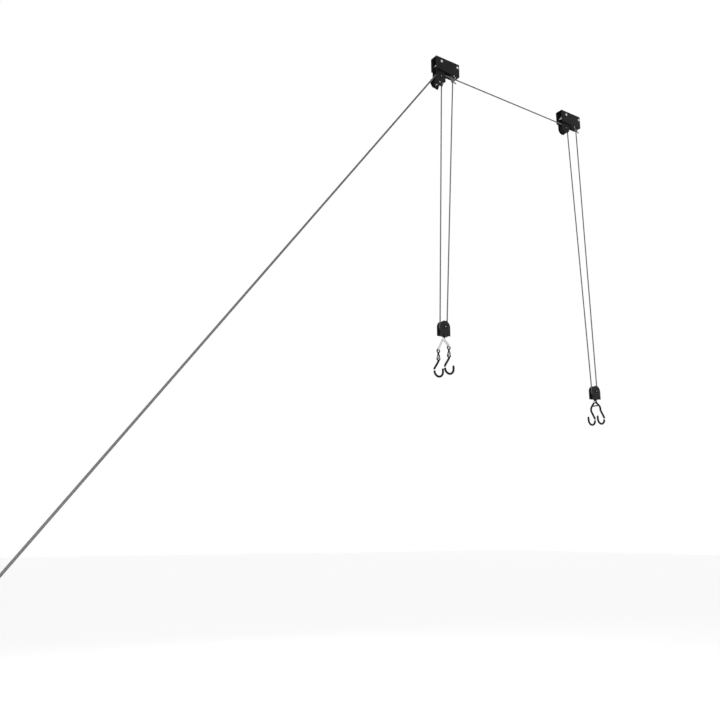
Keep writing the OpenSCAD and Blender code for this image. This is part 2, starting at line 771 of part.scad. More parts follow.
// A coated link: its upper eye passes the spreader's tip, its lower eye holds a hook
module front_link(s) {
    color(rubber_black) translate([arm_x, s * spread_half, tip_z]) {
        translate([0, 0, -eye_r]) rotate([90, 0, 0])
            rotate_extrude() translate([eye_r, 0]) circle(link_wire_r);
        translate([0, 0, -2 * eye_r - link_shank_l - link_wire_r])
            cylinder(h = link_shank_l + 2 * link_wire_r, d = link_sleeve_d);
        translate([0, 0, -3 * eye_r - link_shank_l]) rotate([0, 90, 0])
            rotate_extrude() translate([eye_r, 0]) circle(link_wire_r);
    }
}

// A hook below its eye, open towards +X: a leaning shank, a round bowl and a flared tip
hook_moves = [
    [shank_bend_r, shank_lean, 180, hook_coat_d / 2],
    [shank_l, 0, 0, hook_coat_d / 2],
    [shank_bend_r, shank_lean, 0, hook_coat_d / 2],
    [band_l, 0, 0, hook_rod_r],
    [bowl_r, 180, 0, hook_coat_d / 2],
    [tip_l, 0, 0, hook_coat_d / 2],
    [shank_bend_r, tip_flare, 180, hook_coat_d / 2]];

module front_hook(s) {
    color(rubber_black) translate([arm_x, s * spread_half, hook_eye_top_z]) {
        translate([0, 0, -eye_r]) rotate([90, 0, 0])
            rotate_extrude() translate([eye_r, 0]) circle(hook_rod_r);
        translate([0, 0, -2 * eye_r]) rotate([180, 0, 0]) bent_rod(hook_moves);
    }
}

// A rear hook: a flat eye on the rivet, a slanted leg, and a hook open towards -X
module rear_hook_pattern(x) {
    coat_r = hook_coat_d / 2;
    start = leg_eye_d / 2 - overrun;
    translate([x, 0, tab_rivet_z]) {
        difference() {
            bar_x(0, 0, -leg_eye_t / 2, leg_eye_t / 2, leg_eye_d / 2);
            bar_x(0, 0, -leg_eye_t, leg_eye_t, tab_rivet_r + fit_gap);
        }
        translate([0, leg_l * sin(leg_lean), -leg_l * cos(leg_lean)]) rotate([180, 0, 180]) {
            rotate([-leg_lean, 0, 0]) translate([0, 0, start - leg_l])
                cylinder(h = leg_l - start, r = coat_r);
            sphere(coat_r * elbow_share);
            cylinder(h = leg_straight_l, r = coat_r);
            translate([0, 0, leg_straight_l]) bent_rod(hook_moves);
        }
    }
}

// The far hook carries the cross bar, which lies against the near hook's leg
module rear_hook_far() {
    y = cross_bar_at * sin(leg_lean);
    x = leg_eye_x - (hook_coat_d + cross_bar_d) / 2 - seat_gap;
    color(rubber_black) {
        rear_hook_pattern(-leg_eye_x);
        bar_y(x, tab_rivet_z - cross_bar_at * cos(leg_lean), -y, y, cross_bar_d / 2);
    }
}

module rear_hook_near() {
    color(rubber_black) mirror([0, 1, 0]) rear_hook_pattern(leg_eye_x);
}

// A two-horned cleat on the wall, with the rope's bight round its post
module wall_cleat() {
    horn_x = wall_x + plate_t + post_l;
    color(zinc) translate([0, 0, cleat_z]) difference() {
        union() {
            translate([wall_x, -plate_w / 2, -plate_l / 2 + plate_w / 2])
                cube([plate_t, plate_w, plate_l - plate_w]);
            for (s = [-1, 1])
                bar_x(0, s * (plate_l - plate_w) / 2, wall_x, wall_x + plate_t, plate_w / 2);
            bar_x(0, 0, wall_x + plate_t, horn_x, post_d / 2);
            for (s = [-1, 1]) hull() {
                translate([horn_x, -horn_w / 2, -horn_w / 2]) cube([horn_t, horn_w, horn_w]);
                translate([horn_x + horn_t / 2, 0, s * (cleat_l - horn_t) / 2])
                    sphere(d = horn_t, $fn = horn_facets);
            }
        }
        for (s = [-1, 1]) bar_x(0, s * cleat_screw_pitch / 2, wall_x - overrun,
            wall_x + plate_t + overrun, cleat_hole_d / 2);
    }
}

module at_rear() { translate([bracket_span, 0, 0]) children(); }
module at_axle() { translate([axle_x, 0, -axle_drop]) children(); }
module at_front_block() { translate(front_block) children(); }
module at_rear_block() { translate(rear_block) children(); }

bracket();  // front_bracket
cross_bolts();  // front_cross_bolts
cross_nuts();  // front_cross_nuts
bracket_spacers();  // front_spacers
guide_pin();  // front_guide_pin
front_cheek(-cheek_out);  // front_cheek_near
front_cheek(cheek_in);  // front_cheek_far
at_axle() headed_axle(cheek_out);  // front_axle
at_axle() translate([0, -lane, 0]) sheave();  // front_sheave_near
at_axle() translate([0, lane, 0]) sheave();  // front_sheave_far
lock_housing();
lock_rivets();
lock_cam();
lock_cam_pin();
lock_stop_pin();
lock_spring();
at_rear() bracket();  // rear_bracket
at_rear() cross_bolts();  // rear_cross_bolts
at_rear() cross_nuts();  // rear_cross_nuts
at_rear() bracket_spacers();  // rear_spacers
at_rear() guide_pin();  // rear_guide_pin
at_rear() rear_cheek(-cheek_out);  // rear_cheek_near
at_rear() rear_cheek(cheek_in);  // rear_cheek_far
at_rear() at_axle() headed_axle(cheek_out);  // rear_axle
at_rear() at_axle() translate([0, -lane, 0]) sheave();  // rear_sheave
at_rear() axle_spacer();  // rear_axle_spacer
knot(lane);  // front_knot
at_rear() knot(-lane);  // rear_knot
front_rope_turn();
cross_rope();
pull_rope();
falls(0, front_block);  // front_falls
falls(bracket_span, rear_block);  // rear_falls
at_front_block() block_cheeks();  // front_block_cheeks
at_front_block() sheave();  // front_block_sheave
at_front_block() headed_axle(block_out);  // front_block_axle
at_front_block() block_washers();  // front_block_washers
at_front_block() color(rope_grey) rope_turn(180, 360);  // front_block_rope_turn
at_front_block() hanger();  // front_hanger
at_front_block() hanger_rivets();  // front_hanger_rivets
at_front_block() swivel();  // front_swivel
at_front_block() tab_rivet(arm_x - arm_t / 2 - fit_gap, tab_t / 2);  // front_spreader_rivet
at_front_block() front_spreader();
at_front_block() front_link(1);  // front_link_far
at_front_block() front_link(-1);  // front_link_near
at_front_block() front_hook(1);  // front_hook_far
at_front_block() front_hook(-1);  // front_hook_near
at_rear_block() block_cheeks();  // rear_block_cheeks
at_rear_block() sheave();  // rear_block_sheave
at_rear_block() headed_axle(block_out);  // rear_block_axle
at_rear_block() block_washers();  // rear_block_washers
at_rear_block() color(rope_grey) rope_turn(180, 360);  // rear_block_rope_turn
at_rear_block() hanger();  // rear_hanger
at_rear_block() hanger_rivets();  // rear_hanger_rivets
at_rear_block() swivel();  // rear_swivel
at_rear_block()  // rear_hook_rivet
    tab_rivet(-leg_eye_x - leg_eye_t / 2 - fit_gap, leg_eye_x + leg_eye_t / 2 + fit_gap);
at_rear_block() rear_hook_far();
at_rear_block() rear_hook_near();
wall_cleat();
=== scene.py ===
import json
import math
import bpy
from mathutils import Matrix, Vector

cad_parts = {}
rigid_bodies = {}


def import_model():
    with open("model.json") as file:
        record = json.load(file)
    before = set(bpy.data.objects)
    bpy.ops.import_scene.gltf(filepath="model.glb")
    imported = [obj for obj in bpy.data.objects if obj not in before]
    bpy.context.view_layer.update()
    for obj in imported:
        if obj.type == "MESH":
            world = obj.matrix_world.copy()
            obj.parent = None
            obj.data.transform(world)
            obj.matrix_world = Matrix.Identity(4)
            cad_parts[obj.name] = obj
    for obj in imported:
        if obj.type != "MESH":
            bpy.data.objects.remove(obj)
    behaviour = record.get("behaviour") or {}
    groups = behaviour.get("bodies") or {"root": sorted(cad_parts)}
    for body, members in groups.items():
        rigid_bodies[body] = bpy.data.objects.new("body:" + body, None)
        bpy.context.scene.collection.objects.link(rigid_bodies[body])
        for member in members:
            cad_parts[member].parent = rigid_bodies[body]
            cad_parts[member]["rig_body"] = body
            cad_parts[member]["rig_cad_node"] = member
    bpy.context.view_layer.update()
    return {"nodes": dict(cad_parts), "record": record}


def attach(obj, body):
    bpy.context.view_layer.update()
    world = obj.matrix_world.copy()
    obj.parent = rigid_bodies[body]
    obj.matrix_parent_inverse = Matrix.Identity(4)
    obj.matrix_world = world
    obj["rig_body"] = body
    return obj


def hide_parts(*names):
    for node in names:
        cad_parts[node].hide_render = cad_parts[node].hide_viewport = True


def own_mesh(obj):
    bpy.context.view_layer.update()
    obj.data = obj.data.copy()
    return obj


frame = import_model()
nodes = frame["nodes"]
print("frame loaded,", len(nodes), "nodes")

# The places that several pieces share, in metres and degrees, as in the part's own drawing
hoist = {
    "span": 0.72, "axleX": -0.0333, "axleZ": -0.0819, "lane": 0.0052,
    "pitchR": 0.0165, "ropeR": 0.0025, "pullAngle": 143.13,
    "loopX": 0.04145, "loopZ": -0.05675, "loopR": 0.00585, "fallTopZ": -0.0747,
    "frontBlock": (-0.0375, 0.0052, -1.113), "rearBlock": (0.7665, -0.0052, -1.273),
}

# Each bracket by the name of its side, and how far along X it stands
brackets = (("front", 0), ("rear", hoist["span"]))

# Place in metres, angles in degrees, and the focal length as a share of the picture's width
cameraView = {"place": (-1.789, -2.088, -1.856), "heading": 56.56, "tilt": 12.86, "roll": 0.05,
              "focalShare": 761.4 / 720, "sensor": 36, "clip": (0.05, 200)}


def makeCamera():
    bpy.ops.object.camera_add(location=cameraView["place"])
    camera = bpy.context.object
    turn = (Matrix.Rotation(math.radians(cameraView["heading"] - 90), 4, "Z")
            @ Matrix.Rotation(math.radians(90 + cameraView["tilt"]), 4, "X")
            @ Matrix.Rotation(math.radians(cameraView["roll"]), 4, "Z"))
    camera.rotation_euler = turn.to_euler()
    camera.data.sensor_width = cameraView["sensor"]
    camera.data.lens = cameraView["sensor"] * cameraView["focalShare"]
    camera.data.clip_start, camera.data.clip_end = cameraView["clip"]
    bpy.context.scene.camera = camera


makeCamera()
bpy.context.scene.view_settings.view_transform = "Standard"
print("camera set")


# Small helpers for meshes

def pick(piece):
    bpy.ops.object.select_all(action="DESELECT")
    piece.select_set(True)
    bpy.context.view_layer.objects.active = piece


def smoothByAngle(piece, degrees):
    pick(piece)
    bpy.ops.object.shade_smooth_by_angle(angle=math.radians(degrees))


def newMesh(name, points, edges, faces):
    mesh = bpy.data.meshes.new(name)
    mesh.from_pydata([tuple(p) for p in points], edges, faces)
    mesh.update()
    piece = bpy.data.objects.new(name, mesh)
    bpy.context.scene.collection.objects.link(piece)
    return piece


def cleanShell(piece, dissolve=None):
    pick(piece)
    bpy.ops.object.mode_set(mode="EDIT")
    bpy.ops.mesh.select_all(action="SELECT")
    bpy.ops.mesh.remove_doubles(threshold=1e-6)
    if dissolve:
        bpy.ops.mesh.dissolve_limited(angle_limit=math.radians(dissolve))
    bpy.ops.mesh.normals_make_consistent(inside=False)
    bpy.ops.object.mode_set(mode="OBJECT")


def bevelEdges(piece, width, segments, degrees):
    pick(piece)
    bevel = piece.modifiers.new("edges", "BEVEL")
    bevel.width, bevel.segments = width, segments
    bevel.limit_method, bevel.angle_limit = "ANGLE", math.radians(degrees)
    bpy.ops.object.modifier_apply(modifier="edges")


def joined(name, pieces):
    bpy.ops.object.select_all(action="DESELECT")
    for piece in pieces:
        piece.select_set(True)
    bpy.context.view_layer.objects.active = pieces[0]
    bpy.ops.object.join()
    whole = bpy.context.view_layer.objects.active
    whole.name = whole.data.name = name
    return whole


def moved(piece, place):
    piece.data.transform(Matrix.Translation(place))
    return piece


def finished(piece, body, node, material=None):
    # a piece with several materials brings them along, and gives none here
    if material:
        piece.data.materials.append(material)
    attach(piece, body)
    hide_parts(node)


def turned(name, profile, axis, centre, steps=40):
    # profile holds (place along the axis, radius) pairs of a turned piece
    points = [{"X": (along, 0, radius), "Y": (radius, along, 0)}[axis] for along, radius in profile]
    piece = newMesh(name, points, [(i, i + 1) for i in range(len(points) - 1)], [])
    pick(piece)
    bpy.ops.object.mode_set(mode="EDIT")
    bpy.ops.mesh.select_all(action="SELECT")
    direction = {"X": (1, 0, 0), "Y": (0, 1, 0)}[axis]
    bpy.ops.mesh.spin(steps=steps, angle=2 * math.pi, center=(0, 0, 0), axis=direction)
    bpy.ops.object.mode_set(mode="OBJECT")
    cleanShell(piece)
    moved(piece, centre)
    smoothByAngle(piece, 32)
    return piece


def smoothLine(points, step):
    # a smooth line through points, with a point about every step
    points = [Vector(p) for p in points]
    line = []
    for i in range(len(points) - 1):
        a, b = points[max(i - 1, 0)], points[i]
        c, d = points[i + 1], points[min(i + 2, len(points) - 1)]
        count = max(2, round((c - b).length / step))
        for k in range(count):
            t = k / count
            line.append(0.5 * ((2 * b) + (c - a) * t + (2 * a - 5 * b + 4 * c - d) * t * t
                               + (3 * b - a - 3 * c + d) * t ** 3))
    line.append(points[-1])
    return line


def arcLine(centre, radius, start, end, count, plane="XZ"):
    # start and end are degrees from the plane's first axis towards its second
    line = []
    for k in range(count + 1):
        angle = math.radians(start + (end - start) * k / count)
        c, s = radius * math.cos(angle), radius * math.sin(angle)
        line.append(Vector(centre) + Vector((c, 0, s) if plane == "XZ" else (0, c, s)))
    return line


def tube(name, points, radii, sides, closed=False):
    # a tube along points, with u round it and v the length along it, in metres
    points = [Vector(p) for p in points]
    if not hasattr(radii, "__len__"):
        radii = [radii] * len(points)
    count = len(points)
    ahead = [(points[(i + 1) % count if closed else min(i + 1, count - 1)]
              - points[i - 1 if closed else max(i - 1, 0)]).normalized() for i in range(count)]
    side = ahead[0].orthogonal().normalized()
    vertices, along, total = [], [], 0.0
    for i in range(count):
        if i:
            side = (ahead[i - 1].rotation_difference(ahead[i]) @ side).normalized()
            total += (points[i] - points[i - 1]).length
        along.append(total)
        other = ahead[i].cross(side)
        for k in range(sides):
            angle = 2 * math.pi * k / sides
            vertices.append(points[i] + radii[i] * (math.cos(angle) * side + math.sin(angle) * other))
    faces, marks = [], []
    for i in range(count if closed else count - 1):
        j = (i + 1) % count
        endAlong = along[j] if j else total + (points[0] - points[-1]).length
        for k in range(sides):
            n = (k + 1) % sides
            faces.append((i * sides + k, i * sides + n, j * sides + n, j * sides + k))
            marks.append([(k / sides, along[i]), ((k + 1) / sides, along[i]),
                          ((k + 1) / sides, endAlong), (k / sides, endAlong)])
    if not closed:
        for i, order in ((0, -1), (count - 1, 1)):
            ring = [i * sides + k for k in range(sides)][::order]
            faces.append(tuple(ring))
            marks.append([(k / sides, along[i]) for k in range(sides)])
    piece = newMesh(name, vertices, [], faces)
    layer = piece.data.uv_layers.new(name="rope")
    flat = [value for face in marks for corner in face for value in corner]
    layer.data.foreach_set("uv", flat)
    for face in piece.data.polygons:
        face.use_smooth = len(face.vertices) == 4
    return piece


# Materials: each reads the piece's own place, or its own map where a pattern follows the piece

class Look:
    def __init__(self, name):
        self.material = bpy.data.materials.new(name)
        self.material.use_nodes = True
        self.tree = self.material.node_tree
        self.shader = self.tree.nodes["Principled BSDF"]
        self.coordinates = self.tree.nodes.new("ShaderNodeTexCoord")

    def link(self, source, target):
        self.tree.links.new(source, target)

    def stretched(self, scale):
        mapping = self.tree.nodes.new("ShaderNodeMapping")
        mapping.inputs["Scale"].default_value = scale
        self.link(self.coordinates.outputs["Object"], mapping.inputs["Vector"])
        return mapping.outputs["Vector"]

    def noise(self, scale, detail=3.0, rough=0.5, vector=None):
        noise = self.tree.nodes.new("ShaderNodeTexNoise")
        noise.inputs["Scale"].default_value = scale
        noise.inputs["Detail"].default_value = detail
        noise.inputs["Roughness"].default_value = rough
        self.link(vector or self.coordinates.outputs["Object"], noise.inputs["Vector"])
        return noise.outputs["Fac"]

    def spread(self, value, low, high):
        ranged = self.tree.nodes.new("ShaderNodeMapRange")
        ranged.inputs["To Min"].default_value = low
        ranged.inputs["To Max"].default_value = high
        self.link(value, ranged.inputs["Value"])
        return ranged.outputs["Result"]

    def colours(self, value, stops):
        ramp = self.tree.nodes.new("ShaderNodeValToRGB")
        while len(ramp.color_ramp.elements) < len(stops):
            ramp.color_ramp.elements.new(0.5)
        for element, (place, colour) in zip(ramp.color_ramp.elements, stops):
            element.position = place
            element.color = (*colour, 1)
        self.link(value, ramp.inputs["Fac"])
        return ramp.outputs["Color"]

    def sum(self, kind, a, b=None, c=None):
        node = self.tree.nodes.new("ShaderNodeMath")
        node.operation = kind
        for socket, value in zip(node.inputs, (a, b, c)):
            if value is None:
                continue
            if isinstance(value, (int, float)):
                socket.default_value = value
            else:
                self.link(value, socket)
        return node.outputs["Value"]

    def weighed(self, *parts):
        # the sum of the values, each times its weight
        scaled = [self.sum("MULTIPLY", value, weight) for value, weight in parts]
        total = scaled.pop()
        while scaled:
            total = self.sum("ADD", scaled.pop(), total)
        return total

    def relief(self, height, distance, strength):
        bump = self.tree.nodes.new("ShaderNodeBump")
        bump.inputs["Distance"].default_value = distance
        bump.inputs["Strength"].default_value = strength
        previous = self.shader.inputs["Normal"].links
        if previous:
            self.link(previous[0].from_socket, bump.inputs["Normal"])
        self.link(height, bump.inputs["Height"])
        self.link(bump.outputs["Normal"], self.shader.inputs["Normal"])

    def give(self, **values):
        sockets = {"colour": "Base Color", "rough": "Roughness", "metal": "Metallic",
                   "specular": "Specular IOR Level", "sheen": "Sheen Weight", "sheenRough": "Sheen Roughness"}
        for key, value in values.items():
            socket = self.shader.inputs[sockets[key]]
            if isinstance(value, (int, float)):
                socket.default_value = value
            else:
                self.link(value, socket)


# In each material, shades pairs a place on the ramp with its colour, a noise is (scale, detail, roughness),
# a relief is (depth in metres, strength), and rough is the range of the surface's own roughness

powderForm = {
    "shades": [(0.3, (0.004, 0.004, 0.0045)), (0.62, (0.008, 0.008, 0.0085)), (0.85, (0.020, 0.020, 0.021))],
    "clouds": (38, 4, 0.6), "cloudShare": 0.7,
    "rubs": (240, 5, 0.7), "rubStretch": (1, 1, 3), "rubShare": 0.3,
    "gloss": (420, 3), "rough": (0.42, 0.66), "specular": 0.11,
    "grain": (2100, 2, 0.6), "grainRelief": (0.00010, 0.55),
    "ripple": (620, 1), "rippleRelief": (0.00012, 0.35),
}


def makePowderCoat():
    f, look = powderForm, Look("powderCoat")
    clouds, grain = look.noise(*f["clouds"]), look.noise(*f["grain"])
    rubs = look.noise(*f["rubs"], look.stretched(f["rubStretch"]))
    shade = look.colours(look.weighed((clouds, f["cloudShare"]), (rubs, f["rubShare"])), f["shades"])
    look.give(colour=shade, rough=look.spread(look.noise(*f["gloss"]), *f["rough"]), specular=f["specular"])
    look.relief(grain, *f["grainRelief"])
    look.relief(look.noise(*f["ripple"]), *f["rippleRelief"])
    return look.material


# stops holds each shade's place on the ramp, its lightness and its tint
zincForm = {
    "stops": ((0.25, 0.50, (1, 1.01, 1.03)), (0.55, 0.72, (0.94, 0.95, 0.97)), (0.8, 0.72, (1, 1, 1.01))),
    "clouds": (130, 4, 0.6), "cloudShare": 0.6,
    "streaks": (900, 3, 0.6), "streakStretch": (1, 1, 0.12), "streakShare": 0.4,
    "rough": (0.24, 0.44), "streakRelief": (0.00004, 0.5),
}


def makeZinc(name, dull=0.0):
    # dull takes that much off the lightness, and adds half as much roughness
    f, look = zincForm, Look(name)
    clouds = look.noise(*f["clouds"])
    streaks = look.noise(*f["streaks"], look.stretched(f["streakStretch"]))
    shades = [(place, [(light - dull) * part for part in tint]) for place, light, tint in f["stops"]]
    shade = look.colours(look.weighed((clouds, f["cloudShare"]), (streaks, f["streakShare"])), shades)
    smooth, rough = f["rough"]
    look.give(colour=shade, metal=1.0, rough=look.spread(clouds, smooth + dull / 2, rough + dull / 2))
    look.relief(streaks, *f["streakRelief"])
    return look.material


# lowStop and highStop hold the place on the ramp and how much blue there is to one part of red and green
mouldedForm = {
    "lowStop": (0.3, 1.04), "highStop": (0.75, 1.03), "clouds": (70, 3), "gloss": (300, 3),
    "smoother": 0.06, "rougher": 0.08, "specular": 0.12, "grain": (2, 0.55), "grainRelief": (0.00008, 0.5),
}


def makeMoulded(name, low, high, rough, grain):
    # low and high are its darkest and lightest shade, and grain is the scale of the grain
    f, look = mouldedForm, Look(name)
    stops = ((low, f["lowStop"]), (high, f["highStop"]))
    shades = [(place, (level, level, level * blue)) for level, (place, blue) in stops]
    shade = look.colours(look.noise(*f["clouds"]), shades)
    roughness = look.spread(look.noise(*f["gloss"]), rough - f["smoother"], rough + f["rougher"])
    look.give(colour=shade, rough=roughness, specular=f["specular"])
    look.relief(look.noise(grain, *f["grain"]), *f["grainRelief"])
    return look.material


rubberForm = {
    "shades": [(0.35, (0.005, 0.005, 0.005)), (0.62, (0.009, 0.009, 0.009)), (0.82, (0.028, 0.027, 0.026))],
    "dust": (520, 6, 0.75), "gloss": (160, 3), "rough": (0.52, 0.70), "specular": 0.11,
    "dip": (260, 2), "dipRelief": (0.00025, 0.30), "dustRelief": (0.00005, 0.40),
}


def makeRubber():
    f, look = rubberForm, Look("dippedRubber")
    dust = look.noise(*f["dust"])
    shade = look.colours(dust, f["shades"])
    look.give(colour=shade, rough=look.spread(look.noise(*f["gloss"]), *f["rough"]), specular=f["specular"])
    look.relief(look.noise(*f["dip"]), *f["dipRelief"])
    look.relief(dust, *f["dustRelief"])
    return look.material


# carriers counts the strands each way, lead is the length of one whole turn of a strand, and the shares
# say how much the painted shade in the grooves between the strands' crowns, their own tints and their fibres
# count in the colour
braid = {
    "carriers": 8, "lead": 0.021, "crownTop": 1.02, "strandRelief": (0.00045, 0.9),
    "fibres": (3600, 3, 0.7), "fibreRelief": (0.00006, 0.5),
    "grooveShadeShare": 0.62, "tintShare": 0.16, "fibreShare": 0.22, "tintStep": 31.0,
    "shades": [(0.20, (0.018, 0.018, 0.019)), (0.55, (0.09, 0.09, 0.092)), (0.92, (0.19, 0.19, 0.187))],
    "rough": (0.62, 0.85), "specular": 0.15, "sheen": 0.06, "sheenRough": 0.5,
}


def makeRope():
    look = Look("greyBraid")
    split = look.tree.nodes.new("ShaderNodeSeparateXYZ")
    look.link(look.coordinates.outputs["UV"], split.inputs["Vector"])
    around, along = split.outputs["X"], look.sum("DIVIDE", split.outputs["Y"], braid["lead"])
    left = look.sum("MULTIPLY", look.sum("ADD", around, along), braid["carriers"])
    right = look.sum("MULTIPLY", look.sum("SUBTRACT", around, along), braid["carriers"])
    over = look.sum("PINGPONG", look.sum("ADD", look.sum("FLOOR", left), look.sum("FLOOR", right)), 1.0)

    # the round back of a strand across its width
    def crown(value):
        centred = look.sum("MULTIPLY_ADD", look.sum("FRACT", value), 2.0, -1.0)
        fallen = look.sum("MULTIPLY", centred, centred)
        return look.sum("SQRT", look.sum("SUBTRACT", braid["crownTop"], fallen))

    # the value of the strand that lies on top
    def either(a, b):
        return look.sum("ADD", look.sum("MULTIPLY", a, over),
                        look.sum("MULTIPLY", b, look.sum("SUBTRACT", 1.0, over)))

    height = either(crown(left), crown(right))
    strandNumber = either(look.sum("FLOOR", left),
                          look.sum("ADD", look.sum("FLOOR", right), braid["tintStep"]))
    tint = look.tree.nodes.new("ShaderNodeTexWhiteNoise")
    tint.noise_dimensions = "1D"
    look.link(strandNumber, tint.inputs["W"])
    fibres = look.noise(*braid["fibres"])
    # the strands' height also sets the colour, darker where it falls off into the grooves between strands:
    # painted shade
    value = look.weighed((height, braid["grooveShadeShare"]), (tint.outputs["Value"], braid["tintShare"]),
                         (fibres, braid["fibreShare"]))
    look.give(colour=look.colours(value, braid["shades"]), rough=look.spread(fibres, *braid["rough"]),
              specular=braid["specular"], sheen=braid["sheen"], sheenRough=braid["sheenRough"])
    look.relief(height, *braid["strandRelief"])
    look.relief(fibres, *braid["fibreRelief"])
    return look.material


powderCoat = makePowderCoat()
zincPlate = makeZinc("zincPlate")
dullZinc = makeZinc("dullZinc", 0.08)
springSteel = makeZinc("springSteel", 0.16)
sheaveNylon = makeMoulded("sheaveNylon", 0.010, 0.018, 0.46, 1500)
blockPlastic = makeMoulded("blockPlastic", 0.006, 0.011, 0.50, 2300)
dippedRubber = makeRubber()
greyBraid = makeRope()
print("materials made")


# The pull rope first: one rope from the sheaves down to the cleat, round its post and back up

# The route's points are in millimetres, the steps in metres
pullRope = {
    "strand": [(-46.5, -5.2, -72), (-196.5, -5.7, -272), (-346.5, -6.3, -472), (-496.5, -6.8, -672),
               (-646.5, -7.3, -872), (-796.5, -7.9, -1072), (-946.5, -8.4, -1272), (-1096.5, -8.9, -1472),
               (-1246.5, -9.4, -1672), (-1396.5, -10, -1872), (-1546.5, -10.5, -2072)],
    "bight": [(-1549.7, -9.1, -2076.2), (-1552, -5.3, -2079.3), (-1552.8, 0, -2080.4),
              (-1552, 5.3, -2079.3), (-1549.7, 9.1, -2076.2)],
    "step": 0.02, "bightStep": 0.001,
}
ropeSides = 16


def makeStretch(name, line, body, node, radii=hoist["ropeR"]):
    piece = tube(name, line, radii, ropeSides)
    finished(piece, body, node, greyBraid)
    return piece


def makePullRope():
    down = [Vector(p) / 1000 for p in pullRope["strand"]]
    up = [Vector((p.x, -p.y, p.z)) for p in reversed(down)]
    bight = [Vector(p) / 1000 for p in pullRope["bight"]]
    line = smoothLine(down, pullRope["step"])[:-1]
    line += smoothLine([down[-1], *bight, up[0]], pullRope["bightStep"])[:-1]
    line += smoothLine(up, pullRope["step"])
    piece = makeStretch("pullRope", line, "root", "pull_rope")


makePullRope()


# The rest of the rope: over the sheaves, round the blocks, and the four falls

straightRings = 60


def makeRopeTurns():
    x, z, lane, r = hoist["axleX"], hoist["axleZ"], hoist["lane"], hoist["pitchR"]
    rearX, top, away = x + hoist["span"], z + r, hoist["pullAngle"]
    makeStretch("frontRopeTurn", arcLine((x, lane, z), r, 0, away, 40), "root", "front_rope_turn")
    line = arcLine((x, -lane, z), r, away, 90, 16)
    line += [Vector((x + (rearX - x) * k / straightRings, -lane, top)) for k in range(1, straightRings)]
    line += arcLine((rearX, -lane, z), r, 90, 0, 28)
    makeStretch("crossRope", line, "root", "cross_rope")
    for side, shift in brackets:
        turn = arcLine(hoist[side + "Block"], r, 180, 360, 48)
        makeStretch(side + "BlockRopeTurn", turn, side + "_block", side + "_block_rope_turn")


def makeFalls():
    # each strand stays whole between bracket and block, and has a mesh of its own
    for side, shift in brackets:
        block = Vector(hoist[side + "Block"])
        ends = {
            "Live": (Vector((shift + hoist["axleX"] + hoist["pitchR"], block.y, hoist["axleZ"])),
                     block - Vector((hoist["pitchR"], 0, 0))),
            "Dead": (Vector((shift + hoist["loopX"], block.y, hoist["fallTopZ"])),
                     block + Vector((hoist["pitchR"], 0, 0))),
        }
        for kind, (top, low) in ends.items():
            line = [top.lerp(low, k / straightRings) for k in range(straightRings + 1)]
            piece = makeStretch(side + kind + "Fall", line, "root", side + "_falls")
            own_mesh(piece)


# The knot: the rope comes up through its middle, goes round the bracket's lip and is hitched round itself.
# The loop round the lip has its centre at loopX, loopZ, and the knot's middle lies drop below the loop.
knotForm = {
    "drop": 0.0044, "belowMiddle": 0.004, "aside": 0.0006, "aboveMiddle": 0.001,
    "riseX": 0.0042, "riseZ": 0.0045, "loopArc": (185, -5), "downX": 0.0050, "downY": 0.0006, "downZ": 0.0048,
    "turns": 2.25, "wrapFrom": -20, "wrapPoints": 27, "wrapR": 0.0043, "top": 0.0072, "low": 0.0150,
    "tail": 0.0195, "tailLean": 112, "tailBend": 0.35, "tailAside": 0.0012, "tailEnd": 0.78,
    "ropeR": 0.0023, "fullRings": 6, "step": 0.0012,
}


def makeKnot(side, shift, lane):
    f = knotForm
    x, z, r = shift + hoist["loopX"], hoist["loopZ"], hoist["loopR"]
    knotZ = z - r - f["drop"]
    rope = [(x, lane, hoist["fallTopZ"]), (x, lane, knotZ - f["belowMiddle"]),
            (x - f["aside"], lane, knotZ + f["aboveMiddle"]), (x - f["riseX"], lane, z - f["riseZ"])]
    rope += [tuple(p) for p in arcLine((x, lane, z), r, *f["loopArc"], 10)]
    rope += [(x + f["downX"], lane - f["downY"], z - f["downZ"])]
    wrap = f["wrapR"]
    for k in range(1, f["wrapPoints"] + 1):
        t = k / f["wrapPoints"]
        angle = math.radians(f["wrapFrom"]) - 2 * math.pi * f["turns"] * t
        height = (z - f["top"]) * (1 - t) + (z - f["low"]) * t
        rope.append((x + wrap * math.cos(angle), lane + wrap * math.sin(angle), height))
    lean = math.radians(f["tailLean"])
    end = Vector((x + f["tail"] * math.sin(lean), lane, knotZ + f["tail"] * math.cos(lean)))
    last = Vector(rope[-1])
    rope += [tuple(last + (end - last) * f["tailBend"] + Vector((0, f["tailAside"], 0))), tuple(end)]
    line = smoothLine(rope, f["step"])
    radii = [hoist["ropeR"] if k < f["fullRings"] else f["ropeR"] for k in range(len(line))]
    radii[-1] *= f["tailEnd"]
    makeStretch(side + "KnotRope", line, "root", side + "_knot", radii)


makeRopeTurns()
makeFalls()
makeKnot("front", 0, hoist["lane"])
makeKnot("rear", hoist["span"], -hoist["lane"])
print("ropes made")


# Pressed, folded and moulded pieces keep the CAD form, and get the rounded edges that they have

